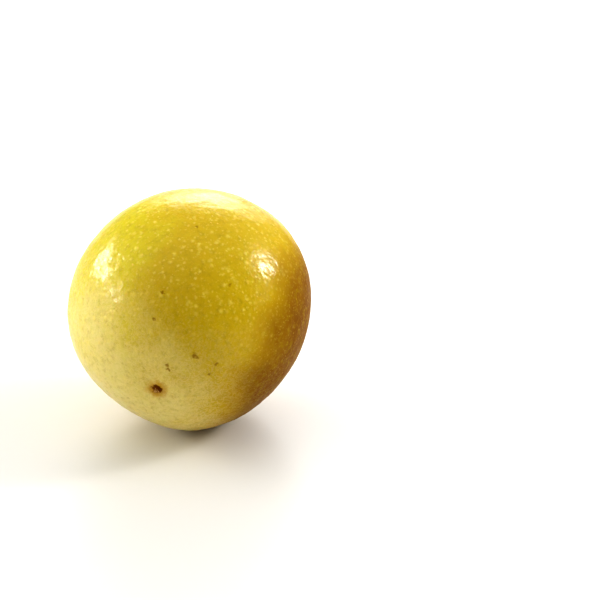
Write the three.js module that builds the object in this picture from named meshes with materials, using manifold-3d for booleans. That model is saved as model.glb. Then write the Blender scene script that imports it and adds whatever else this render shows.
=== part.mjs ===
// A whole yellow passion fruit, picked and lying on its side.
//
// The fruit grew as one piece, so it is one closed solid: a nearly round berry with three soft ridges,
// a shallow dimple at the blossom end with the stump of the dried style in it, and a basin at the stem
// end around the round scar that the stalk left. It rests on a small flat spot.
//
// Millimetres, +Z up. The origin is the middle of the flat spot. The blossom end points along -Y and
// dips below the horizontal, and the stem end points along +Y and rises.

import * as THREE from 'three';
import { mergeVertices } from 'three/addons/utils/BufferGeometryUtils.js';
import Module from 'manifold-3d';

// The fruit's body
const LENGTH = 70.5;            // blossom end to stem end
const WIDTH = 67.2;             // across the waist, between the ridges
const SHOULDER = 0.012;         // how much fuller the stem half is than the blossom half

// Soft ridges that run from end to end. Each one's place is in degrees round the fruit, from +X towards
// +Z. Its height is a share of the radius, and its width is how many degrees its sides spread.
const RIDGES = [
  { at: 30, height: 0.066, width: 42 },
  { at: 182, height: 0.064, width: 34 },
  { at: 278, height: 0.064, width: 31 },
];

// The blossom end
const DIMPLE_DEPTH = 0.5;
const DIMPLE_RADIUS = 4.2;
const STYLE_HEIGHT = 0.55;      // the dried stump, above the floor of the dimple
const STYLE_RADIUS = 1.15;

// The stem end
const BASIN_DEPTH = 1.1;
const BASIN_RADIUS = 7;
const SCAR_HEIGHT = 0.9;        // the round scar, above the floor of the basin
const SCAR_RADIUS = 2.9;
const PIT_DEPTH = 0.6;          // the hollow in the middle of the scar
const PIT_RADIUS = 1.1;

// How it lies
const DIP = 16.8;               // degrees from the horizontal down to the blossom end
const FLAT_DEPTH = 0.6;         // how far the resting side is pressed in

// The mesh
const RINGS = 48;
const SIDES = 56;
const CROWDING = 0.82;          // 0 spaces the rings evenly, and near 1 crowds them towards the two ends

const wasm = await Module();
wasm.setup();

// How far the skin lies from the fruit's centre, at an angle from the blossom end.
function skinDistance(angle) {
  const long = LENGTH / 2;
  const wide = WIDTH / 2;
  const oval = (long * wide) / Math.hypot(wide * Math.cos(angle), long * Math.sin(angle));
  const full = 1 - SHOULDER * Math.cos(angle) * Math.sin(angle) ** 2;
  const fromBlossom = long * angle;
  const fromStem = long * (Math.PI - angle);
  const dimple = DIMPLE_DEPTH * Math.exp(-((fromBlossom / DIMPLE_RADIUS) ** 2));
  const style = STYLE_HEIGHT / (1 + (fromBlossom / STYLE_RADIUS) ** 6);
  const basin = BASIN_DEPTH * Math.exp(-((fromStem / BASIN_RADIUS) ** 2));
  const scar = SCAR_HEIGHT / (1 + (fromStem / SCAR_RADIUS) ** 8);
  const pit = PIT_DEPTH * Math.exp(-((fromStem / PIT_RADIUS) ** 2));
  return oval * full - dimple + style - basin + scar - pit;
}

// The outline from the blossom end to the stem end, for turning round the Y axis.
function meridian() {
  const points = [];
  for (let ring = 0; ring <= RINGS; ring++) {
    const share = ring / RINGS;
    const angle = Math.PI * (share - (CROWDING * Math.sin(2 * Math.PI * share)) / (2 * Math.PI));
    const distance = skinDistance(angle);
    const onAxis = ring === 0 || ring === RINGS;
    points.push(new THREE.Vector2(onAxis ? 0 : distance * Math.sin(angle), -distance * Math.cos(angle)));
  }
  return points;
}

// Swells the turned shape along its ridges, which fade out towards both ends.
function swell(geometry) {
  const position = geometry.getAttribute('position');
  const point = new THREE.Vector3();
  for (let i = 0; i < position.count; i++) {
    point.fromBufferAttribute(position, i);
    const around = THREE.MathUtils.radToDeg(Math.atan2(point.z, point.x));
    const sideways = Math.hypot(point.x, point.z) / point.length();
    let share = 1;
    for (const { at, height, width } of RIDGES) {
      const turn = THREE.MathUtils.euclideanModulo(around - at + 180, 360) - 180;
      share += height * sideways ** 1.5 * Math.exp(-((turn / width) ** 2));
    }
    point.multiplyScalar(share);
    position.setXYZ(i, point.x, point.y, point.z);
  }
  return geometry;
}

// A closed geometry as a solid for cutting. Triangles that shrank to a line at the two ends are left out.
function solidFrom(geometry) {
  const bare = new THREE.BufferGeometry();
  bare.setAttribute('position', geometry.getAttribute('position').clone());
  bare.setIndex(geometry.index.clone());
  const merged = mergeVertices(bare, 1e-4);
  const corners = merged.index.array;
  const kept = [];
  for (let i = 0; i < corners.length; i += 3) {
    const [a, b, c] = corners.subarray(i, i + 3);
    if (a !== b && b !== c && c !== a) kept.push(a, b, c);
  }
  return new wasm.Manifold(new wasm.Mesh({
    numProp: 3,
    vertProperties: merged.getAttribute('position').array,
    triVerts: new Uint32Array(kept),
  }));
}

// A cut solid as a geometry again.
function geometryFrom(solid) {
  const { vertProperties, triVerts } = solid.getMesh();
  const geometry = new THREE.BufferGeometry();
  geometry.setAttribute('position', new THREE.BufferAttribute(vertProperties, 3));
  geometry.setIndex(new THREE.BufferAttribute(triVerts, 1));
  geometry.computeVertexNormals();
  return geometry;
}

// Presses the lying fruit flat underneath, and moves the middle of the flat spot to the origin.
function rest(lying) {
  lying.computeBoundingBox();
  const level = lying.boundingBox.min.z + FLAT_DEPTH;
  const ground = new THREE.BoxGeometry(2 * WIDTH, 2 * LENGTH, WIDTH).translate(0, 0, level - WIDTH / 2);
  const geometry = geometryFrom(solidFrom(lying).subtract(solidFrom(ground)));

  const flat = new THREE.Box3();
  const position = geometry.getAttribute('position');
  const point = new THREE.Vector3();
  for (let i = 0; i < position.count; i++) {
    point.fromBufferAttribute(position, i);
    if (point.z < level + 1e-3) flat.expandByPoint(point);
  }
  const middle = flat.getCenter(new THREE.Vector3());
  return geometry.translate(-middle.x, -middle.y, -level);
}

const upright = swell(new THREE.LatheGeometry(meridian(), SIDES));
const lying = upright.rotateX(THREE.MathUtils.degToRad(DIP));

const fruit = new THREE.Mesh(rest(lying), new THREE.MeshStandardMaterial({
  color: 0xd9b832,
  roughness: 0.4,
  metalness: 0,
}));
fruit.name = 'passion_fruit';

const group = new THREE.Group();
group.add(fruit);
export default group;
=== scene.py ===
# %% [markdown]
# # A yellow passion fruit
#
# This notebook gives a passion fruit its looks. Everything here is built round that solid, in metres,
# with +Z up, and nothing moves or resizes it.
#
# The fruit lies on its side. The end that faces the camera is the blossom end, where the flower's
# style dried up, and the end that faces away is the stem end, where the stalk broke off.

import math

import bmesh
import bpy
import numpy as np
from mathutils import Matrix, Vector


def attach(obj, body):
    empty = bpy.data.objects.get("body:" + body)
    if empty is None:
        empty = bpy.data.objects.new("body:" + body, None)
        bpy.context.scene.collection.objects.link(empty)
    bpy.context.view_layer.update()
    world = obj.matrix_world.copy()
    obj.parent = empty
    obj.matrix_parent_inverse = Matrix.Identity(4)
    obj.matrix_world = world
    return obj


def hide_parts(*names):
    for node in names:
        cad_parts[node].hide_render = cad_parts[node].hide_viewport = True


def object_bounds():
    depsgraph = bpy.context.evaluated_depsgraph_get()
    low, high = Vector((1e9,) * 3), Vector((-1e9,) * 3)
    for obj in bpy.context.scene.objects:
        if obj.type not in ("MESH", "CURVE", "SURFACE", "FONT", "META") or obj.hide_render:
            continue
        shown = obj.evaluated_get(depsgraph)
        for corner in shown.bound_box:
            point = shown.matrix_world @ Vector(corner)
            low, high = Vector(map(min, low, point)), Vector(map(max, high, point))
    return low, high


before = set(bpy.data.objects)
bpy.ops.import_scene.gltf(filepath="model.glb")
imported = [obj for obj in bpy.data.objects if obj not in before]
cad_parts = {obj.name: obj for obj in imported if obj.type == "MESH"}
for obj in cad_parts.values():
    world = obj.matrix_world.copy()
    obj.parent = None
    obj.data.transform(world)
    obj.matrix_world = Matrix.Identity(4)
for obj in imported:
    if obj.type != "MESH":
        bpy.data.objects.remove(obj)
CAD_LOW, CAD_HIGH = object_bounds()
MM = 0.001
print("the solid is", [round(size / MM, 1) for size in CAD_HIGH - CAD_LOW], "mm")

# %% [markdown]
# ## The camera
#
# The camera comes first, because it decides which side of the fruit deserves the most care. A long
# lens from half a metre keeps the fruit's outline true, with no bulging towards the lens. The camera
# looks past the fruit, so that the fruit lies left of the picture's middle.

# %% The camera
AZIMUTH = math.radians(17.4)
ELEVATION = math.radians(24)
PICTURE_WIDTH = 174 * MM      # how much the picture takes in, at the fruit's distance
LEFT_OF_MIDDLE = 32 * MM      # how far the fruit lies from the middle of the picture
BELOW_MIDDLE = 1.5 * MM
LENS = 100                    # millimetres, on a sensor 36 mm wide
SENSOR = 36

CENTRE = (CAD_LOW + CAD_HIGH) / 2
RIGHT = Vector((math.cos(AZIMUTH), math.sin(AZIMUTH), 0))
AWAY = Vector((-math.sin(AZIMUTH), math.cos(AZIMUTH), 0))
UP = Vector((0, 0, 1))
to_camera = math.sin(ELEVATION) * UP - math.cos(ELEVATION) * AWAY
picture_up = to_camera.cross(RIGHT)

camera_data = bpy.data.cameras.new("camera")
camera_data.lens = LENS
camera_data.sensor_width = SENSOR
camera_data.clip_start = 0.01
camera = bpy.data.objects.new("camera", camera_data)
bpy.context.scene.collection.objects.link(camera)
bpy.context.scene.camera = camera
camera.location = CENTRE + to_camera * (PICTURE_WIDTH * LENS / SENSOR)
aim = CENTRE + RIGHT * LEFT_OF_MIDDLE + picture_up * BELOW_MIDDLE
camera.rotation_euler = (aim - camera.location).to_track_quat("-Z", "Y").to_euler()
print("the camera is", round((camera.location - CENTRE).length, 3), "m from the fruit")

# %% [markdown]
# ## The two ends
#
# The solid was turned like a vase on a lathe and then swelled, so all its lengthwise edges run
# together in two points: the ends of the fruit. Finding the two points where the most edges meet gives
# both ends without a single measure by hand.
#
# The solid's mesh is loose triangles. A copy of it is joined up first, and the solid stays as it is.

# %% A joined copy of the solid, and its two ends
def joined_copy(node):
    """A copy of a solid's mesh with its corners merged and its triangles paired into quads."""
    made = bmesh.new()
    made.from_mesh(node.data)
    bmesh.ops.remove_doubles(made, verts=made.verts, dist=1e-6)
    flat_enough = math.radians(40)
    bmesh.ops.join_triangles(
        made, faces=made.faces, angle_face_threshold=flat_enough, angle_shape_threshold=flat_enough
    )
    return made


solid = joined_copy(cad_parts["passion_fruit"])
ends = sorted(solid.verts, key=lambda corner: -len(corner.link_edges))[:2]
BLOSSOM, STEM = sorted((Vector(corner.co) for corner in ends), key=lambda point: point.y)
MIDDLE = (BLOSSOM + STEM) / 2
ALONG = (STEM - BLOSSOM).normalized()
ACROSS = ALONG.cross(UP).normalized()
print("edges meeting at the ends:", [len(corner.link_edges) for corner in ends])
print("the blossom end dips", round(math.degrees(math.asin(ALONG.z)), 1), "degrees")

# %% [markdown]
# ## A smooth form under the rind
#
# The solid is faceted. Subdivision rounds it: each step splits every face in four and pulls the new
# corners towards the average of their neighbours. The result isn't shown. It is the form that the rind
# is laid on.

# %% The smooth form
SPLITS = 3


def link(name, mesh):
    """An object for a mesh, put in the scene."""
    made = bpy.data.objects.new(name, mesh)
    bpy.context.scene.collection.objects.link(made)
    return made


form_mesh = bpy.data.meshes.new("form")
solid.to_mesh(form_mesh)
solid.free()
form = link("form", form_mesh)
rounding = form.modifiers.new("rounding", "SUBSURF")
rounding.levels = SPLITS
rounding.render_levels = SPLITS
print("the form is rounded from", len(form_mesh.polygons), "faces, each split", SPLITS, "times")

# %% [markdown]
# ## The rind's grid
#
# A rind needs small, even faces, because its highlights show every flaw. A globe's grid of meridians
# bunches up at the poles, so this grid is a cube blown up to a ball: six square nets, evenly spaced.
# The nets are split finer round the two ends, where the scars are.
#
# The cube is also the easiest shape to lay out flat, so the UV map is made here: three nets side by
# side, in two rows.

# %% The rind's grid
NET = 118                     # faces along one side of a net
FINE_REACH = 0.16             # how far from an end the finer faces go, as a share of half a net
FINE_CUTS = 2
ON_SIDE = 0.999               # a corner past this is on a side of the cube, whose sides are at 1
UV_MARGIN = 0.006             # bare edge round each net in the UV map, as a share of the net


def cube_net():
    """A cube of fine nets. The ends of the fruit are the middles of its -Y and +Y sides."""
    made = bmesh.new()
    bmesh.ops.create_cube(made, size=2)
    bmesh.ops.subdivide_edges(made, edges=made.edges, cuts=NET - 1, use_grid_fill=True)
    near_an_end = [
        edge for edge in made.edges
        if all(abs(v.co.y) > ON_SIDE and max(abs(v.co.x), abs(v.co.z)) < FINE_REACH for v in edge.verts)
    ]
    bmesh.ops.subdivide_edges(made, edges=near_an_end, cuts=FINE_CUTS, use_grid_fill=True)
    mesh = bpy.data.meshes.new("rind")
    made.to_mesh(mesh)
    made.free()
    return mesh


def read_all(items, name, width, kind=float):
    """One measure of every corner, face or loop of a mesh, as a table of the given width."""
    values = np.zeros(len(items) * width, kind)
    items.foreach_get(name, values)
    return values.reshape(-1, width)


def lay_out_flat(mesh):
    """Gives each side of the cube its own place in a UV map of three columns and two rows."""
    corners = read_all(mesh.vertices, "co", 3)
    centres = read_all(mesh.polygons, "center", 3)
    sizes = read_all(mesh.polygons, "loop_total", 1, int)[:, 0]
    corner_of_loop = read_all(mesh.loops, "vertex_index", 1, int)[:, 0]

    axis = np.abs(centres).argmax(1)
    above = centres[np.arange(len(axis)), axis] > 0
    axis = np.repeat(axis, sizes)
    above = np.repeat(above, sizes)
    at = corners[corner_of_loop]
    rows = np.arange(len(at))
    across = at[rows, (axis + 1) % 3]
    upward = at[rows, (axis + 2) % 3]
    across = np.where(above, across, -across)
    u = (axis + UV_MARGIN + (across + 1) / 2 * (1 - 2 * UV_MARGIN)) / 3
    v = (above + UV_MARGIN + (upward + 1) / 2 * (1 - 2 * UV_MARGIN)) / 2
    layer = mesh.uv_layers.new(name="OFBake")
    layer.uv.foreach_set("vector", np.stack([u, v], 1).astype(np.float32).ravel())


def blow_up(mesh):
    """Turns the cube into a ball of radius 1 with its ends along the fruit."""
    evened = read_all(mesh.vertices, "co", 3) * math.pi / 4
    corners = np.tan(evened)  # the tangent makes the faces on the ball about equal
    corners /= np.linalg.norm(corners, axis=1)[:, None]
    turned = corners @ np.array([ACROSS, ALONG, ACROSS.cross(ALONG)])
    mesh.vertices.foreach_set("co", turned.astype(np.float32).ravel())


rind_mesh = cube_net()
lay_out_flat(rind_mesh)
blow_up(rind_mesh)
rind = link("passion_fruit_rind", rind_mesh)
print("the rind's grid has", len(rind_mesh.polygons), "faces")

# %% [markdown]
# ## Helpers for node trees
#
# Both the rind's relief and its finish are node trees. Building them in a script is wordy, so these
# helpers make a node and wire it in one call: an input is either another node's output or a value.

# %% Helpers for node trees
NUMBER = "NodeSocketFloat"
WHOLE = "NodeSocketInt"
ARROW = "NodeSocketVector"
SHAPE = "NodeSocketGeometry"


def node(tree, kind, inputs=(), **settings):
    """Adds a node. Inputs go by name in a dictionary, or by their order in a list."""
    made = tree.nodes.new(kind)
    for name, value in settings.items():
        setattr(made, name, value)
    for place, value in inputs.items() if isinstance(inputs, dict) else enumerate(inputs):
        if isinstance(value, bpy.types.NodeSocket):
            tree.links.new(value, made.inputs[place])
        else:
            made.inputs[place].default_value = value
    return made


def maths(tree, operation, *values, clamp=False):
    """One sum, such as MULTIPLY or SUBTRACT, on numbers."""
    return node(tree, "ShaderNodeMath", values, operation=operation, use_clamp=clamp).outputs[0]


def arrows(tree, operation, *values):
    """One sum on vectors. A distance, length or dot product comes out as a number."""
    made = node(tree, "ShaderNodeVectorMath", values, operation=operation)
    return made.outputs["Value" if operation in ("DISTANCE", "LENGTH", "DOT_PRODUCT") else "Vector"]


def scaled(tree, arrow, times):
    """An arrow made longer or shorter."""
    return node(tree, "ShaderNodeVectorMath", {0: arrow, "Scale": times}, operation="SCALE").outputs[0]


def fade(tree, value, start, end):
    """Rises smoothly from 0 to 1 as value goes from start to end, which may be the lower of the two."""
    limits = [value, start, end, 0.0, 1.0]
    return node(tree, "ShaderNodeMapRange", limits, interpolation_type="SMOOTHSTEP").outputs[0]


def band(tree, value, middle, width):
    """A soft bump: 1 where value is at the middle, falling to nothing on both sides."""
    off = maths(tree, "DIVIDE", maths(tree, "SUBTRACT", value, middle), width)
    return maths(tree, "EXPONENT", maths(tree, "MULTIPLY", maths(tree, "MULTIPLY", off, off), -1.0))


def noise(tree, place, size, detail=2.0, roughness=0.5, distortion=0.0, output="Fac"):
    """Soft random variation between 0 and 1, with blobs of the given size."""
    scale = maths(tree, "DIVIDE", 1.0, size)
    made = node(tree, "ShaderNodeTexNoise", {
        "Vector": place, "Scale": scale, "Detail": detail, "Roughness": roughness,
        "Distortion": distortion,
    })
    return made.outputs[output]


def new_tree(name, kind, inputs, outputs):
    """A node group with named inputs and outputs. Each input is its name, type and usual value."""
    tree = bpy.data.node_groups.new(name, kind)
    for label, socket_type, value in inputs:
        socket = tree.interface.new_socket(label, in_out="INPUT", socket_type=socket_type)
        if value is not None:
            socket.default_value = value
    for label, socket_type in outputs:
        tree.interface.new_socket(label, in_out="OUTPUT", socket_type=socket_type)
    return tree, tree.nodes.new("NodeGroupInput").outputs, tree.nodes.new("NodeGroupOutput").inputs


# %% [markdown]
# ## The rind's relief
#
# A passion fruit's rind is smooth and tight, but not like glass. It has soft lumps a centimetre wide,
# smaller dents between them, a fine orange-peel unevenness that breaks up every highlight, shallow folds
# that run in to the blossom end, and two scars.
#
# A sculptor would push each of these in by hand. Geometry Nodes does it by rule: the tree casts a ray
# from the middle of the fruit through each corner of the grid, stops it on the smooth form, and then
# moves the corner in or out by the sum of the reliefs. The main heights and sizes are named inputs, so a
# riper, more wrinkled fruit is a matter of changing one number.

# %% The sizes of the relief
RELIEF_INPUTS = [
    ("Grid", SHAPE, None),
    ("Form", "NodeSocketObject", None),
    ("Middle", ARROW, None),
    ("Blossom End", ARROW, None),
    ("Stem End", ARROW, None),
    ("Lump Size", NUMBER, 10 * MM),
    ("Lump Height", NUMBER, 0.55 * MM),
    ("Dent Size", NUMBER, 4 * MM),
    ("Dent Height", NUMBER, 0.16 * MM),
    ("Peel Size", NUMBER, 1.35 * MM),
    ("Peel Height", NUMBER, 0.19 * MM),
    ("Fold Height", NUMBER, 0.35 * MM),
    ("Fold Reach", NUMBER, 9 * MM),
    ("Blossom Scar Radius", NUMBER, 1.3 * MM),
    ("Blossom Scar Depth", NUMBER, 0.4 * MM),
    ("Stem Scar Radius", NUMBER, 3.1 * MM),
    ("Stem Scar Depth", NUMBER, 0.45 * MM),
    ("Seed", NUMBER, 7.0),
    ("Finish", "NodeSocketMaterial", None),
]
NEAR_BLOSSOM = (2 * MM, 8 * MM)     # the lumps fade in between these two distances from the end
NEAR_STEM = (3 * MM, 9 * MM)
FOLD_SPACING = 0.16                 # from fold to fold, on a ball of radius 1
FOLD_START = 2 * MM                 # where the folds start to fade
CRATER_WIDTH = 0.4 * MM             # how far the sides of the groove in the blossom scar spread
RIM_PLACE = 1.9                     # a low rim lies outside that groove, at this many times its radius
RIM_WIDTH = 0.6 * MM
RIM_HEIGHT = 0.12 * MM
STEM_GROOVE_WIDTH = 0.45 * MM
CORK_GRAIN = 0.8 * MM               # how wide and how high the grain on the stem scar is
CORK_EDGE = (2.6 * MM, 3.4 * MM)    # the grain fades out between these two distances from the end
print("the relief has", len(RELIEF_INPUTS), "inputs")


# %% Helpers for geometry trees
def moved(tree, geometry, **where):
    """A geometry with its corners moved to a new Position or by an Offset."""
    return node(tree, "GeometryNodeSetPosition", {"Geometry": geometry, **where}).outputs[0]


def finish_tree(tree, geometry, given, result):
    """Ends a geometry tree: smooth shading, real copies and one material."""
    shaded = node(tree, "GeometryNodeSetShadeSmooth", {"Geometry": geometry}).outputs[0]
    whole = node(tree, "GeometryNodeRealizeInstances", {"Geometry": shaded}).outputs[0]
    finished = node(tree, "GeometryNodeSetMaterial", {"Geometry": whole, "Material": given["Finish"]})
    tree.links.new(finished.outputs[0], result)


# %% The parts of the relief
def uneven(tree, place, size, height, detail=1.0):
    """Random ups and downs of the given size and height, as many up as down."""
    wave = maths(tree, "SUBTRACT", noise(tree, place, size, detail, 0.55), 0.5)
    return maths(tree, "MULTIPLY", wave, height)


def folds(tree, place, given, from_blossom):
    """Folds that run in to the blossom end like the neck of a tied sack, and fade out further away."""
    spoke = arrows(tree, "NORMALIZE", arrows(tree, "SUBTRACT", place, given["Blossom End"]))
    across_spokes = uneven(tree, spoke, FOLD_SPACING, given["Fold Height"])
    reach = maths(tree, "SUBTRACT", 1.0, fade(tree, from_blossom, FOLD_START, given["Fold Reach"]))
    return maths(tree, "MULTIPLY", across_spokes, reach)


def groove(tree, distance, radius, width, depth):
    """A round groove at one radius. With a depth below 0 it is a rim."""
    down = maths(tree, "MULTIPLY", depth, -1.0)
    return maths(tree, "MULTIPLY", band(tree, distance, radius, width), down)


# %% The height of the relief
def relief_height(tree, place, given):
    """How far each corner moves out. The lumps stop short of the scars, which have their own shapes."""
    from_blossom = arrows(tree, "DISTANCE", place, given["Blossom End"])
    from_stem = arrows(tree, "DISTANCE", place, given["Stem End"])
    seed = node(tree, "ShaderNodeCombineXYZ", [given["Seed"]]).outputs[0]
    shuffled = arrows(tree, "ADD", place, seed)

    off_blossom = fade(tree, from_blossom, *NEAR_BLOSSOM)
    off_scars = maths(tree, "MULTIPLY", off_blossom, fade(tree, from_stem, *NEAR_STEM))
    lumps = uneven(tree, shuffled, given["Lump Size"], given["Lump Height"])
    dents = uneven(tree, shuffled, given["Dent Size"], given["Dent Height"])
    height = maths(tree, "MULTIPLY", maths(tree, "ADD", lumps, dents), off_scars)

    on_scar = maths(tree, "SUBTRACT", 1.0, fade(tree, from_stem, *CORK_EDGE))
    cork = maths(tree, "MULTIPLY", uneven(tree, shuffled, CORK_GRAIN, CORK_GRAIN, 3.0), on_scar)
    crater = given["Blossom Scar Radius"]
    rim = maths(tree, "MULTIPLY", crater, RIM_PLACE)
    parts = [
        uneven(tree, shuffled, given["Peel Size"], given["Peel Height"], 1.5),
        folds(tree, place, given, from_blossom),
        groove(tree, from_blossom, crater, CRATER_WIDTH, given["Blossom Scar Depth"]),
        groove(tree, from_blossom, rim, RIM_WIDTH, -RIM_HEIGHT),
        groove(tree, from_stem, given["Stem Scar Radius"], STEM_GROOVE_WIDTH, given["Stem Scar Depth"]),
        cork,
    ]
    for part in parts:
        height = maths(tree, "ADD", height, part)
    return height


# %% The tree for the rind's relief
def relief_tree():
    """Lays the grid on the form, adds the reliefs and presses the fruit flat where it rests."""
    tree, given, result = new_tree("Rind relief", "GeometryNodeTree", RELIEF_INPUTS, [("Rind", SHAPE)])
    form_info = node(tree, "GeometryNodeObjectInfo", {"Object": given["Form"]})
    direction = node(tree, "GeometryNodeInputPosition").outputs[0]
    ray = node(tree, "GeometryNodeRaycast", {
        "Target Geometry": form_info.outputs["Geometry"], "Source Position": given["Middle"],
        "Ray Direction": direction, "Ray Length": 1.0,
    })
    laid = moved(tree, given["Grid"], Position=ray.outputs["Hit Position"])

    place = node(tree, "GeometryNodeInputPosition").outputs[0]
    height = relief_height(tree, place, given)
    outward = node(tree, "GeometryNodeInputNormal").outputs[0]
    raised = moved(tree, laid, Offset=scaled(tree, outward, height))

    lowest = node(tree, "ShaderNodeCombineXYZ", [-1.0, -1.0, 0.0]).outputs[0]
    above_floor = arrows(tree, "MAXIMUM", node(tree, "GeometryNodeInputPosition").outputs[0], lowest)
    finish_tree(tree, moved(tree, raised, Position=above_floor), given, result["Rind"])
    return tree


relief = relief_tree()
print("the tree for the relief has", len(relief.nodes), "nodes")


# %% [markdown]
# ## From a tree to a mesh
#
# A modifier's inputs are set by their identifiers, before the object is first worked out. The result
# is then read back as a plain mesh, and the modifier goes, so that the piece is a mesh like any other.

# %% From a tree to a mesh
def bake_tree(piece, tree, values):
    """Runs a geometry tree on a piece with the given inputs, and keeps the result as its mesh."""
    modifier = piece.modifiers.new(tree.name, "NODES")
    modifier.node_group = tree
    for socket in tree.interface.items_tree:
        if socket.item_type == "SOCKET" and socket.in_out == "INPUT" and socket.name in values:
            modifier[socket.identifier] = values[socket.name]
    worked_out = piece.evaluated_get(bpy.context.evaluated_depsgraph_get())
    mesh = bpy.data.meshes.new_from_object(worked_out)
    piece.modifiers.remove(modifier)
    piece.data = mesh
    mesh.name = piece.name


# %% [markdown]
# ## The rind's finish
#
# Seen close, the rind is a waxy yellow skin over a pale pith. What makes it read as fruit and not as
# plastic is light that soaks in and comes out redder, pale specks of cork just under the wax, pale fibres
# that run from end to end, and colour that drifts from lemon on top through gold to amber on one cheek.
# That amber cheek is partly the rind's own riper colour and partly painted shade.
#
# Two effects are used again and again with other values, so each is a group of its own: the specks, and
# a ragged patch round one point, which serves for the scars, their stains and the rubbed marks.

# %% A group for specks
SPECK_INPUTS = [
    ("Place", ARROW, None),
    ("Spacing", NUMBER, 2 * MM),
    ("Radius", NUMBER, 0.5 * MM),
    ("Softness", NUMBER, 0.8),
    ("Shuffle", NUMBER, 0.0),
]
MIDDLE_GREY = (0.5, 0.5, 0.5)       # taken off a random colour, it leaves a random push
SPECK_PUSH = 0.7 * MM               # how far and how finely a speck's edge is pushed about


def speck_group():
    """Random soft specks. Each cell of a Voronoi pattern holds one, of its own size and strength."""
    tree, given, result = new_tree("Specks", "ShaderNodeTree", SPECK_INPUTS, [("Mask", NUMBER)])
    shift = node(tree, "ShaderNodeCombineXYZ", [given["Shuffle"]]).outputs[0]
    place = arrows(tree, "ADD", given["Place"], shift)
    push = arrows(tree, "SUBTRACT", noise(tree, place, SPECK_PUSH, 1.0, output="Color"), MIDDLE_GREY)
    place = arrows(tree, "ADD", place, scaled(tree, push, SPECK_PUSH))
    cells = node(tree, "ShaderNodeTexVoronoi", {
        "Vector": place, "Scale": maths(tree, "DIVIDE", 1.0, given["Spacing"]),
    })
    distance = maths(tree, "MULTIPLY", cells.outputs["Distance"], given["Spacing"])
    luck = node(tree, "ShaderNodeSeparateXYZ", [cells.outputs["Color"]]).outputs
    radius = maths(tree, "MULTIPLY", given["Radius"], maths(tree, "MULTIPLY_ADD", luck[0], 0.9, 0.4))
    inner = maths(tree, "MULTIPLY", radius, maths(tree, "SUBTRACT", 1.0, given["Softness"]))
    strength = maths(tree, "MULTIPLY_ADD", luck[1], 0.6, 0.4)
    mask = maths(tree, "MULTIPLY", fade(tree, distance, radius, inner), strength)
    tree.links.new(mask, result["Mask"])
    return tree


specks = speck_group()
print("the group for specks has", len(specks.nodes), "nodes")


# %% A group for ragged patches
PATCH_INPUTS = [
    ("Place", ARROW, None),
    ("Middle", ARROW, None),
    ("Radius", NUMBER, 1 * MM),
    ("Softness", NUMBER, 0.5 * MM),
    ("Raggedness", NUMBER, 0.5 * MM),
    ("Grain", NUMBER, 0.7 * MM),
]


def patch_group():
    """1 inside a round patch and 0 outside it, with an edge that wanders in and out."""
    tree, given, result = new_tree("Ragged patch", "ShaderNodeTree", PATCH_INPUTS, [("Mask", NUMBER)])
    wander = maths(tree, "SUBTRACT", noise(tree, given["Place"], given["Grain"], 3.0, 0.6), 0.5)
    wander = maths(tree, "MULTIPLY", wander, maths(tree, "MULTIPLY", given["Raggedness"], 4.0))
    distance = arrows(tree, "DISTANCE", given["Place"], given["Middle"])
    distance = maths(tree, "ADD", distance, wander)
    outer = maths(tree, "ADD", given["Radius"], given["Softness"])
    tree.links.new(fade(tree, distance, outer, given["Radius"]), result["Mask"])
    return tree


patches = patch_group()
print("the group for ragged patches has", len(patches.nodes), "nodes")


# %% Helpers for materials
def masked(tree, group, place, **values):
    """Places one of the two groups in a material and gives back its mask."""
    return node(tree, "ShaderNodeGroup", {"Place": place, **values}, node_tree=group).outputs["Mask"]


def blend(tree, share, first, second):
    """Mixes two colours: all of the first where share is 0, all of the second where it is 1."""
    return node(tree, "ShaderNodeMix", {0: share, 6: first, 7: second}, data_type="RGBA").outputs[2]


def share_of(tree, mask, most):
    """A mask that reaches only part of the way."""
    return maths(tree, "MULTIPLY", mask, most)


def towards(tree, outward, direction, start, end):
    """How squarely a place on the fruit faces a direction, faded from 0 to 1."""
    return fade(tree, arrows(tree, "DOT_PRODUCT", outward, direction), start, end)


def new_material(name, settings):
    """A material with its nodes and its Principled shader. The settings are the same all over it."""
    material = bpy.data.materials.new(name)
    material.use_nodes = True
    shader = material.node_tree.nodes["Principled BSDF"]
    for label, value in settings.items():
        shader.inputs[label].default_value = value
    return material, material.node_tree, shader


def object_place(tree):
    """Where a place of the surface is, in the piece's own coordinates."""
    return node(tree, "ShaderNodeTexCoord").outputs["Object"]


# %% [markdown]
# ## The skin's colour
#
# The ground colour comes first: lemon on top, gold in the middle, deep gold below and towards the right,
# an amber cheek on the right and a pale patch on the lower left round the blossom end, all mottled with
# olive. The amber cheek is partly a riper colour and partly painted shade: the darkness and warmth of a
# shadow with amber bounce light. The pale patch is painted bounce light and reflection from the lit
# table. Then comes what lies in it and on it: fibres, specks, rubbed marks and the stains round the
# scars. Each layer is a mask and a colour, so each can be judged by itself.
#
# The specks are cork spots, thickest on the shoulder that faced up. Low on the fruit they give way to a
# net of pale fibres, and both are faint on the amber cheek, where they are dimmed as part of its painted
# shade.

# %% The skin's colours
LEMON = (0.66, 0.548, 0.008, 1)
GOLD = (0.60, 0.425, 0.002, 1)
DEEP_GOLD = (0.56, 0.355, 0.002, 1)
# The amber is partly a riper cheek's own colour and partly painted shade: the darkness and warmth of a
# shadow with amber bounce light.
AMBER_AND_PAINTED_SHADE = (0.21, 0.080, 0.001, 1)
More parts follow.
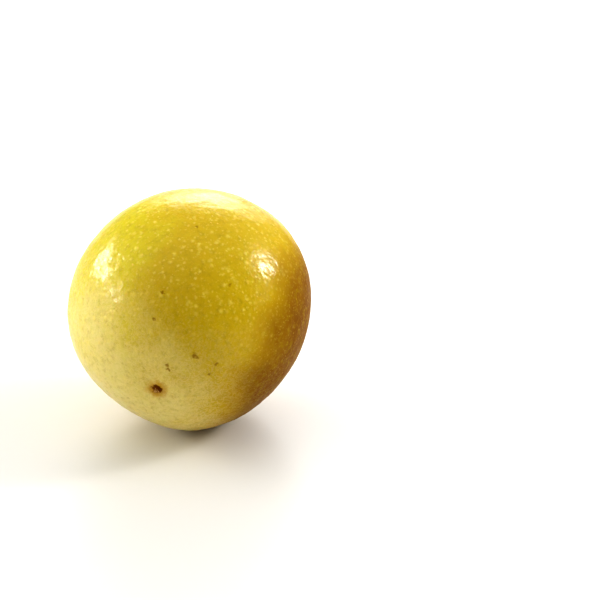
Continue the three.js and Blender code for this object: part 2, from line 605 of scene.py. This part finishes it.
# The pale is painted bounce light and reflection from the lit table, on the lower left round the blossom
# end.
PALE = (0.80, 0.69, 0.26, 1)
OLIVE = (0.40, 0.285, 0.001, 1)
STRAW = (0.93, 0.76, 0.17, 1)
FIBRE = (0.86, 0.70, 0.30, 1)
TAN = (0.55, 0.300, 0.006, 1)
STEM_TAN = (0.42, 0.21, 0.02, 1)
BRUISE = (0.29, 0.143, 0.0005, 1)
SCAR_BROWN = (0.19, 0.062, 0.002, 1)
STYLE_BROWN = (0.34, 0.15, 0.03, 1)
SCAR_PINK = (0.70, 0.47, 0.16, 1)
CORK = (0.30, 0.19, 0.085, 1)
print("the lemon is", LEMON[:3], "and the amber is", AMBER_AND_PAINTED_SHADE[:3], "in linear light")


# %% The sides of the fruit that differ
def aim_at(right, away, up):
    """A direction from the fruit's middle, as the camera sees right, away and up."""
    return (RIGHT * right + AWAY * away + UP * up).normalized()


# The rind turns from gold to deep gold towards the lower right.
LOWER_RIGHT_SIDE = aim_at(0.9, 0, -0.43)
# The amber cheek faces right and a little down. Its amber is partly a riper colour and partly painted
# shade.
SHADED_AMBER_CHEEK = aim_at(0.93, -0.12, -0.35)
# The pale patch faces down towards the lit table, on the blossom end's left. It is painted bounce light
# and reflection from the table.
TABLE_BOUNCE_SIDE = aim_at(-0.65, -0.65, -0.4)
FIBROUS_SIDE = aim_at(-0.5, 0, -0.85)
SPECKED_SIDE = (UP * 0.8 + ALONG * 0.5).normalized()
print("the amber cheek faces", [round(part, 2) for part in SHADED_AMBER_CHEEK])


# %% The ground colour
# Each patch: the side it is on, where on the way to that side it starts and is full, how much of the
# drift its border follows, how strong it is, and its colour.
GROUND = [
    (LOWER_RIGHT_SIDE, -0.9, -0.35, 1.0, 1.0, GOLD),
    (LOWER_RIGHT_SIDE, 0.05, 0.7, 1.0, 1.0, DEEP_GOLD),
    # The amber row is partly painted shade, and the pale row is painted bounce light and reflection from
    # the table.
    (SHADED_AMBER_CHEEK, 0.38, 0.86, 0.45, 1.0, AMBER_AND_PAINTED_SHADE),
    (TABLE_BOUNCE_SIDE, 0.55, 1.0, 0.7, 0.8, PALE),
]
DRIFT_SIZE = 13 * MM
DRIFT = 0.7                   # how far the borders between the colours wander
MOTTLING_SIZE = 1.8 * MM
MOTTLING = 0.45


def ground_colour(tree, place, outward):
    """The patches of the ground, one on another, and olive mottling over all of them."""
    drift = maths(tree, "SUBTRACT", noise(tree, place, DRIFT_SIZE), 0.5)
    drift = maths(tree, "MULTIPLY", drift, DRIFT)
    colour = LEMON
    for direction, start, full, wander, strength, tint in GROUND:
        facing = arrows(tree, "DOT_PRODUCT", outward, direction)
        patch = fade(tree, maths(tree, "ADD", facing, share_of(tree, drift, wander)), start, full)
        colour = blend(tree, share_of(tree, patch, strength), colour, tint)
    mottling = fade(tree, noise(tree, place, MOTTLING_SIZE, 4.0, 0.65), 0.45, 0.75)
    return blend(tree, share_of(tree, mottling, MOTTLING), colour, OLIVE)


print("the ground has", len(GROUND), "patches on lemon")


# %% The fibres
FIBRE_SIZE = 1.4 * MM         # how coarse the net is
FIBRE_WIDTH = 0.07            # half a fibre's width, as a share of the noise that draws the net
DRAWN_OUT = 0.45              # 0 is a net with round holes, and near 1 is long threads


def fibre_mask(tree, place):
    """A net of thin pale fibres, drawn out a little along the fruit."""
    along = arrows(tree, "DOT_PRODUCT", place, ALONG)
    squeezed = arrows(tree, "ADD", place, scaled(tree, ALONG, maths(tree, "MULTIPLY", along, -DRAWN_OUT)))
    threads = noise(tree, squeezed, FIBRE_SIZE, 4.0, 0.7, distortion=0.3)
    off_middle = maths(tree, "ABSOLUTE", maths(tree, "SUBTRACT", threads, 0.5))
    return fade(tree, off_middle, FIBRE_WIDTH, 0.0)


print("the net of fibres has holes about", FIBRE_SIZE / MM, "mm wide")

# %% [markdown]
# ## Marks and scars
#
# Leaves and stalks rub small brown marks into the rind while the fruit grows. Each is a ragged patch at a
# place of its own. Each scar is two or three ragged patches, one on another: a stain that fades into the
# rind, and then the dry brown middle.
#
# They could be painted by hand on a picture that is wrapped round the fruit. Patches with noise in their
# edges stay sharp from any distance, and are easy to move.

# %% Rubbed marks
# Each mark is how far right and how far up of the fruit's middle it lies, seen from the camera's side,
# and its size, all in millimetres.
MARK_RAGGEDNESS = 0.5 * MM
MARK_GRAIN = 0.6 * MM
MARKS = [
    (0.6, -12.9, 0.55), (1.5, -13.5, 0.35), (-6.9, -15.4, 0.40), (-6.5, -16.6, 0.30), (6.5, -15.3, 0.35),
    (-7.6, 4.7, 0.32), (10.9, 6.2, 0.38), (-10.2, -2.6, 0.30), (2.6, 23.3, 0.35), (4.6, -18.1, 0.28),
]
RADIUS = (CAD_HIGH.x - CAD_LOW.x) / 2


def mark_mask(tree, outward):
    """All the rubbed marks in one mask, measured on a ball as big as the fruit."""
    on_ball = scaled(tree, outward, RADIUS)
    total = 0.0
    for mark in MARKS:
        right, up, size = (value * MM for value in mark)
        nearer = math.sqrt(RADIUS ** 2 - right ** 2 - up ** 2)
        spot = RIGHT * right + picture_up * up + to_camera * nearer
        mask = masked(tree, patches, on_ball, Middle=spot, Radius=size * 0.5, Softness=size * 1.6,
                      Raggedness=MARK_RAGGEDNESS, Grain=MARK_GRAIN)
        total = maths(tree, "MAXIMUM", total, mask)
    return total


print(len(MARKS), "rubbed marks on a ball", round(2 * RADIUS / MM, 1), "mm across")


# %% The scars' colours
# Each ring: its radius, its soft edge, how ragged the edge is and how fine the raggedness is, all in
# millimetres, then how strong the ring is. The second ring of each scar is dry.
BLOSSOM_STAIN = (1.3, 2.9, 0.7, 1.4, 0.95)
CRATER = (1.3, 0.5, 0.5, 0.7, 1.0)
CRUMB = (0.2, 0.4, 0.3, 0.5, 0.8)
STEM_STAIN = (3.6, 2.6, 0.6, 1.5, 0.8)
CORK_DISC = (3.1, 0.5, 0.5, 1.6, 1.0)


def scar(tree, place, end, colour, rings):
    """Paints the rings of a scar one on another. Gives back the colour, and a mask of the dry ring."""
    masks = []
    for (*sizes, strength), tint in rings:
        radius, softness, raggedness, grain = (size * MM for size in sizes)
        mask = masked(tree, patches, place, Middle=end, Radius=radius, Softness=softness,
                      Raggedness=raggedness, Grain=grain)
        colour = blend(tree, share_of(tree, mask, strength), colour, tint)
        masks.append(mask)
    return colour, masks[1]


def both_scars(tree, place, colour):
    """A tan stain, a brown crater and a paler crumb, and at the other end a cork disc with a tan edge."""
    rings = [(BLOSSOM_STAIN, TAN), (CRATER, SCAR_BROWN), (CRUMB, SCAR_PINK)]
    colour, crater = scar(tree, place, BLOSSOM, colour, rings)
    grain = fade(tree, noise(tree, place, 0.6 * MM, 3.0, 0.6), 0.3, 0.7)
    rings = [(STEM_STAIN, STEM_TAN), (CORK_DISC, blend(tree, grain, SCAR_BROWN, CORK))]
    colour, disc = scar(tree, place, STEM, colour, rings)
    return colour, maths(tree, "MAXIMUM", crater, disc)


print("the stain round the blossom scar is", 2 * sum(BLOSSOM_STAIN[:2]), "mm across")

# %% [markdown]
# ## Cork specks
#
# The specks run from dust to spots a millimetre across. One Voronoi pattern holds specks that are all of
# about one size and evenly spread, so three patterns are laid one on another, each with its own spacing.

# %% The specks
SPECKS_LEAST = 0.25           # how strong the specks are low on the fruit, where 1 is on the shoulder
# The amber cheek's painted shade dims the specks there.
SHADE_HIDES_SPECKS = 0.8      # how much of them the amber cheek hides
SPECK_SHARES = (0.24, 0.50, 0.58)   # how strong the dust, the small specks and the large ones are


def less_in_painted_shade(tree, mask, cheek, hidden):
    """A mask that is weaker on the amber cheek, as part of its painted shade."""
    return maths(tree, "MULTIPLY", mask, maths(tree, "MULTIPLY_ADD", cheek, -hidden, 1.0))


def speck_masks(tree, place, shoulder, cheek):
    """Specks in three sizes. The two larger sizes are fainter low on the fruit, and on the cheek as part
    of its painted shade.
    """
    dust = masked(tree, specks, place, Spacing=0.8 * MM, Radius=0.33 * MM, Shuffle=0.3)
    small = masked(tree, specks, place, Spacing=1.3 * MM, Radius=0.56 * MM, Shuffle=0.7)
    large = masked(tree, specks, place, Spacing=2.0 * MM, Radius=0.85 * MM, Softness=0.9)
    most = maths(tree, "MULTIPLY_ADD", shoulder, 1 - SPECKS_LEAST, SPECKS_LEAST)
    most = less_in_painted_shade(tree, most, cheek, SHADE_HIDES_SPECKS)
    return dust, maths(tree, "MULTIPLY", small, most), maths(tree, "MULTIPLY", large, most)


print("the specks are", SPECKS_LEAST, "as strong low on the fruit as on its shoulder")


# %% All the colour of the rind
FIBRES_LEAST = 0.01
FIBRES_MORE = 0.42            # how much stronger the fibres are on the underside
# The amber cheek's painted shade dims the fibres there too.
SHADE_HIDES_FIBRES = 0.7
FRECKLES = 0.6                # how strong the small scattered freckles are, next to the rubbed marks
RUBBED = 0.78                 # how strong the rubbed marks are


def rind_colour(tree, place):
    """The colour, and where the rind has large specks, is rubbed, is dry, and carries the amber cheek's
    painted shade.
    """
    outward = arrows(tree, "NORMALIZE", arrows(tree, "SUBTRACT", place, MIDDLE))
    shoulder = towards(tree, outward, SPECKED_SIDE, -0.75, 0.35)
    underside = towards(tree, outward, FIBROUS_SIDE, -0.6, 0.4)
    # Where the amber cheek's painted shade lies. It also dims the fibres, the specks and the wax.
    cheek = towards(tree, outward, SHADED_AMBER_CHEEK, 0.35, 0.7)

    colour = ground_colour(tree, place, outward)
    most = maths(tree, "MULTIPLY_ADD", underside, FIBRES_MORE, FIBRES_LEAST)
    most = less_in_painted_shade(tree, most, cheek, SHADE_HIDES_FIBRES)
    colour = blend(tree, maths(tree, "MULTIPLY", fibre_mask(tree, place), most), colour, FIBRE)
    masks = speck_masks(tree, place, shoulder, cheek)
    for mask, share in zip(masks, SPECK_SHARES):
        colour = blend(tree, share_of(tree, mask, share), colour, STRAW)

    freckles = masked(tree, specks, place, Spacing=7 * MM, Radius=0.34 * MM, Softness=0.7, Shuffle=0.1)
    rubbed = maths(tree, "MAXIMUM", mark_mask(tree, outward), share_of(tree, freckles, FRECKLES))
    colour = blend(tree, share_of(tree, rubbed, RUBBED), colour, BRUISE)
    colour, dry = both_scars(tree, place, colour)
    return colour, masks[-1], rubbed, dry, cheek


# %% [markdown]
# ## The skin's gloss
#
# The wax is a coat over the rind. It is thinner on large specks, and is missing where the rind is rubbed
# or dry. On the amber cheek it fades out as painted shade, so that the cheek reflects less of the room. A
# coat has its own surface, which the bump under it doesn't reach. So it gets a bump of its own, wide
# shallow pits, and these break every highlight up into glints.
#
# Under the wax, light soaks in. Red goes furthest, so the fruit glows warmer where it turns from the
# light.

# %% The rind's material
WAX = 0.60                    # how strong the coat is where nothing thins it
SPECKS_THIN_WAX = 0.25        # how much of that the large specks take, and how much the cheek takes
# On the amber cheek the coat is taken away as painted shade, so that the cheek reflects less of the room.
SHADE_TAKES_WAX = 0.6
SMOOTHEST = 0.36              # roughness under the wax
ROUGHER = 0.2
DRY_ROUGHNESS = 0.85
PIT_SIZE = 1.5 * MM
PIT_DEPTH = 0.11 * MM
GRAIN_SIZE = 0.6 * MM
GRAIN_DEPTH = 0.10 * MM
RIND_SETTINGS = {
    "Coat Roughness": 0.15, "IOR": 1.45, "Specular IOR Level": 0.05, "Subsurface Weight": 0.35,
    "Subsurface Radius": (1.0, 0.45, 0.12), "Subsurface Scale": 3 * MM,
}


def bump(tree, height, depth):
    """A bump of the given depth, as a normal."""
    return node(tree, "ShaderNodeBump", {"Height": height, "Strength": 1.0, "Distance": depth}).outputs[0]


def rind_material():
    """The whole finish of the rind: colour, gloss, wax, light that soaks in, and two fine bumps."""
    material, tree, shader = new_material("waxy rind", RIND_SETTINGS)
    place = object_place(tree)
    colour, large, rubbed, dry, cheek = rind_colour(tree, place)
    tree.links.new(colour, shader.inputs["Base Color"])

    rough = maths(tree, "MULTIPLY_ADD", noise(tree, place, 3 * MM), ROUGHER, SMOOTHEST)
    rough = maths(tree, "MAXIMUM", rough, share_of(tree, dry, DRY_ROUGHNESS))
    tree.links.new(rough, shader.inputs["Roughness"])
    bare = maths(tree, "MAXIMUM", dry, rubbed)
    bare = maths(tree, "MAXIMUM", bare, share_of(tree, large, SPECKS_THIN_WAX))
    # Less coat on the amber cheek is painted shade.
    bare = maths(tree, "MAXIMUM", bare, share_of(tree, cheek, SHADE_TAKES_WAX))
    tree.links.new(maths(tree, "SUBTRACT", WAX, bare, clamp=True), shader.inputs["Coat Weight"])

    grain = maths(tree, "MULTIPLY", noise(tree, place, GRAIN_SIZE, 2.0, 0.6), 0.9)
    raised = maths(tree, "ADD", share_of(tree, large, 1.2), grain)
    tree.links.new(bump(tree, raised, GRAIN_DEPTH), shader.inputs["Normal"])
    pits = noise(tree, place, PIT_SIZE, 1.0)
    tree.links.new(bump(tree, pits, PIT_DEPTH), shader.inputs["Coat Normal"])
    return material


waxy_rind = rind_material()
print("the rind's material has", len(waxy_rind.node_tree.nodes), "nodes")

# %% The rind
bake_tree(rind, relief, {
    "Form": form, "Middle": MIDDLE, "Blossom End": BLOSSOM, "Stem End": STEM, "Finish": waxy_rind,
})
bpy.data.objects.remove(form)
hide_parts("passion_fruit")
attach(rind, "root")
print("the rind has", len(rind.data.polygons), "faces")

# %% [markdown]
# ## What is left in the scars
#
# Passion flowers have three styles. They dry up on the fruit and leave a few shrivelled stubs in the
# blossom scar. At the other end the stalk snapped off, and the ends of its woody fibres stand in a ring
# on the scar.
#
# Both are short, blunt, crooked pegs that stand on a ring, so one tree makes both. It drops a ring of
# points on the rind, stands a tapered peg on each with a lean and a height of its own, and then pushes
# all the corners about a little. Modelling the pegs by hand would give finer single pegs, but they would
# not follow the rind when its relief changes.

# %% The sizes of the pegs
PEG_INPUTS = [
    ("Rind", "NodeSocketObject", None),
    ("End", ARROW, None),
    ("Outward", ARROW, None),
    ("Count", WHOLE, 14),
    ("Ring Radius", NUMBER, 1.6 * MM),
    ("Peg Radius", NUMBER, 0.16 * MM),
    ("Peg Height", NUMBER, 0.5 * MM),
    ("Lean", NUMBER, 0.5),
    ("Raggedness", NUMBER, 0.2 * MM),
    ("Seed", WHOLE, 3),
    ("Finish", "NodeSocketMaterial", None),
]
PEG_SIDES = 7
PEG_TAPER = 0.55              # how wide the top is, as a share of the foot
PEG_SUNK = 0.35               # how far a peg is pushed into the rind, as a share of its height
RING_ABOVE = 5 * MM           # how far above the end the ring of points hangs
RING_FALL = 20 * MM           # how far down each point looks for the rind
print("a tree for pegs with", len(PEG_INPUTS), "inputs")


# %% One peg, and the ring that the pegs stand on
def peg_shape(tree, given):
    """One tapered peg, pushed a little way into the rind."""
    peg = node(tree, "GeometryNodeMeshCone", {
        "Vertices": PEG_SIDES, "Side Segments": 3, "Radius Bottom": given["Peg Radius"],
        "Radius Top": maths(tree, "MULTIPLY", given["Peg Radius"], PEG_TAPER),
        "Depth": given["Peg Height"],
    }).outputs["Mesh"]
    down = maths(tree, "MULTIPLY", given["Peg Height"], -PEG_SUNK)
    sunk = node(tree, "ShaderNodeCombineXYZ", {"Z": down}).outputs[0]
    return node(tree, "GeometryNodeTransform", {"Geometry": peg, "Translation": sunk}).outputs[0]


def ring_of_points(tree, given):
    """A ring of points that hangs in the air over one end of the fruit."""
    upright = node(tree, "FunctionNodeAlignRotationToVector", {"Vector": given["Outward"]}).outputs[0]
    above = arrows(tree, "ADD", given["End"], scaled(tree, given["Outward"], RING_ABOVE))
    ring = {"Vertices": given["Count"], "Radius": given["Ring Radius"]}
    return node(tree, "GeometryNodeTransform", {
        "Geometry": node(tree, "GeometryNodeMeshCircle", ring).outputs[0],
        "Translation": above, "Rotation": upright,
    }).outputs[0]


def luck(tree, given, least, most, salt):
    """A random arrow for each peg. The salt keeps one draw apart from the next."""
    seed = maths(tree, "ADD", given["Seed"], salt)
    limits = {0: (least,) * 3, 1: (most,) * 3, "Seed": seed}
    return node(tree, "FunctionNodeRandomValue", limits, data_type="FLOAT_VECTOR").outputs[0]


# %% The tree for pegs
def peg_tree():
    """A ring of crooked pegs that stands on the rind round one end of the fruit."""
    tree, given, result = new_tree("Pegs", "GeometryNodeTree", PEG_INPUTS, [("Pegs", SHAPE)])
    rind_info = node(tree, "GeometryNodeObjectInfo", {"Object": given["Rind"]})
    place = node(tree, "GeometryNodeInputPosition").outputs[0]
    stray = scaled(tree, luck(tree, given, -1, 1, 0), maths(tree, "MULTIPLY", given["Ring Radius"], 0.2))
    ray = node(tree, "GeometryNodeRaycast", {
        "Target Geometry": rind_info.outputs["Geometry"],
        "Source Position": arrows(tree, "ADD", place, stray),
        "Ray Direction": scaled(tree, given["Outward"], -1.0), "Ray Length": RING_FALL,
    })
    stood = moved(tree, ring_of_points(tree, given), Position=ray.outputs["Hit Position"])

    lean = scaled(tree, luck(tree, given, -1, 1, 1), given["Lean"])
    upwards = arrows(tree, "ADD", given["Outward"], lean)
    turned = node(tree, "FunctionNodeAlignRotationToVector", {"Vector": upwards}).outputs[0]
    pegs = node(tree, "GeometryNodeInstanceOnPoints", {
        "Points": stood, "Instance": peg_shape(tree, given), "Rotation": turned,
        "Scale": luck(tree, given, 0.6, 1.3, 2),
    }).outputs[0]
    pegs = node(tree, "GeometryNodeRealizeInstances", {"Geometry": pegs}).outputs[0]

    push = arrows(tree, "SUBTRACT", noise(tree, place, 0.4 * MM, 1.0, output="Color"), MIDDLE_GREY)
    crooked = moved(tree, pegs, Offset=scaled(tree, push, given["Raggedness"]))
    finish_tree(tree, crooked, given, result["Pegs"])
    return tree


pegs = peg_tree()
print("the tree for pegs has", len(pegs.nodes), "nodes")


# %% The dry finish of the pegs
def dry_material(name, dark, light):
    """Dead plant matter: two browns in a fine grain, with no gloss."""
    material, tree, shader = new_material(name, {"Roughness": 0.8, "Specular IOR Level": 0.2})
    grain = fade(tree, noise(tree, object_place(tree), 0.35 * MM, 2.0, 0.6), 0.35, 0.65)
    tree.links.new(blend(tree, grain, dark, light), shader.inputs["Base Color"])
    return material


# %% The style stubs and the stalk fibres
def stand_pegs(name, end, outward, finish, **sizes):
    """Makes one ring of pegs a piece of the fruit."""
    piece = link(name, bpy.data.meshes.new(name))
    values = {label.replace("_", " ").title(): size for label, size in sizes.items()}
    bake_tree(piece, pegs, {"Rind": rind, "End": end, "Outward": outward, "Finish": finish, **values})
    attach(piece, "root")
    print(name, "has", values["Count"], "pegs and", len(piece.data.polygons), "faces")


stand_pegs(
    "style_stubs", BLOSSOM, -ALONG, dry_material("dry style", STYLE_BROWN, SCAR_PINK),
    count=3, ring_radius=0.42 * MM, peg_radius=0.36 * MM, peg_height=1.1 * MM, lean=0.8,
    raggedness=0.5 * MM, seed=5,
)
stand_pegs(
    "stalk_fibres", STEM, ALONG, dry_material("woody fibre", CORK, FIBRE),
    count=14, ring_radius=1.6 * MM, peg_radius=0.25 * MM, peg_height=0.9 * MM, lean=0.45,
    raggedness=0.2 * MM, seed=3,
)

# %% [markdown]
# ## The floor
#
# A satin white studio table, one warm white all over. It is part of the studio and not of the fruit. The
# fruit's own yellow bounces on to it close by, and warms the shadow without any help from the material.

# %% The floor
FLOOR_SIZE = 6
TABLE_WHITE = (0.75, 0.735, 0.70, 1)
half = FLOOR_SIZE / 2
drop = -0.05 * MM             # a hair under the fruit, so that the two flat faces don't flicker
floor_mesh = bpy.data.meshes.new("studio_table")
corners = [(-half, -half, drop), (half, -half, drop), (half, half, drop), (-half, half, drop)]
floor_mesh.from_pydata(corners, [], [(0, 1, 2, 3)])
floor = link("studio_table", floor_mesh)
table_white = new_material("table white", {
    "Base Color": TABLE_WHITE, "Roughness": 0.4, "Specular IOR Level": 0.2,
})[0]
floor_mesh.materials.append(table_white)
print("the table is", FLOOR_SIZE, "m square, and", round(-drop / MM, 2), "mm under the fruit")

# %% [markdown]
# ## The light
#
# The fruit lies in a white studio. The room's own light has no edges, so it is painted on the world as
# smooth glows: faint broad ones for the walls and the ceiling, a bright one behind the fruit, which lies
# as a white band along its top, and small ones on both sides, which make the two highlights. The wax is
# pitted, so each highlight breaks up into glints.
#
# One lamp stands in the room, a small window on the right. Its edges are sharp, so it gives the right
# highlight its crisp middle.
#
# The camera's side is nearly dark, so the front of the fruit keeps its depth of colour, and the white
# table lights it from below.

# %% The glows of the room
FILL = 0.18                   # the light that comes from everywhere
GLOWS = [                     # right, away, up, how narrow, how bright
    (0.12, 1.0, 0.46, 28.0, 5.2),          # behind the fruit, for the white band on top
    (-1.0, 0.05, 0.08, 4.0, 0.58),         # the left wall, and a low strip of it
    (-1.0, 0.35, 0.0, 12.0, 0.4),
    (-0.5, 0.0, 1.0, 4.0, 0.70),           # the ceiling
    (0.6, 0.2, 1.0, 4.0, 0.40),
    (0.7, 0.7, 0.5, 4.0, 0.15),            # the far right corner
    (0.84, 0.10, 0.50, 40.0, 4.1),         # round the right highlight, below it, and the highlight
    (0.92, -0.28, 0.26, 120.0, 2.2),
    (0.86, 0.07, 0.51, 160.0, 12.0),
    (-0.76, 0.59, 0.27, 200.0, 15.0),      # the left highlight, from its top down
    (-0.87, 0.35, 0.34, 220.0, 20.0),
    (-0.95, 0.0, 0.32, 300.0, 11.0),
]
SEEN_WHITE = 9.0              # what the camera sees on top of the light, so that the room looks white


def studio_world():
    """A world that the camera sees as white, and that lights the fruit with the glows."""
    made = bpy.data.worlds.new("studio")
    made.use_nodes = True
    tree = made.node_tree
    looking = node(tree, "ShaderNodeTexCoord").outputs["Generated"]
    light = FILL
    for right, away, up, narrowness, brightness in GLOWS:
        facing = arrows(tree, "DOT_PRODUCT", looking, aim_at(right, away, up))
        facing = maths(tree, "MAXIMUM", facing, 0.0)
        glow = maths(tree, "MULTIPLY", maths(tree, "POWER", facing, narrowness), brightness)
        light = maths(tree, "ADD", light, glow)
    seen = node(tree, "ShaderNodeLightPath").outputs["Is Camera Ray"]
    shown = maths(tree, "ADD", light, maths(tree, "MULTIPLY", seen, SEEN_WHITE))
    tree.links.new(shown, tree.nodes["Background"].inputs["Strength"])
    tree.nodes["Background"].inputs["Color"].default_value = (1, 1, 1, 1)
    return made


bpy.context.scene.world = studio_world()
bpy.context.scene.view_settings.view_transform = "Standard"
bpy.context.scene.view_settings.look = "High Contrast"
print("the room has", len(GLOWS), "glows")

# %% The window
WINDOW_DIRECTION = aim_at(0.86, 0.06, 0.51)
WINDOW_DISTANCE = 1.0
WINDOW_WIDTH = 0.12
WINDOW_HEIGHT = 0.26
WINDOW_BRIGHTNESS = 15.0      # what a surface that faces it sees

window_light = bpy.data.lights.new("right_window", "AREA")
window_light.shape = "RECTANGLE"
window_light.size = WINDOW_WIDTH
window_light.size_y = WINDOW_HEIGHT
window_light.energy = WINDOW_BRIGHTNESS * math.pi * WINDOW_WIDTH * WINDOW_HEIGHT
window = bpy.data.objects.new("right_window", window_light)
bpy.context.scene.collection.objects.link(window)
window.location = CENTRE + WINDOW_DIRECTION * WINDOW_DISTANCE
window.rotation_euler = (-WINDOW_DIRECTION).to_track_quat("-Z", "Y").to_euler()
print("the window gives", round(window_light.energy, 2), "watts")
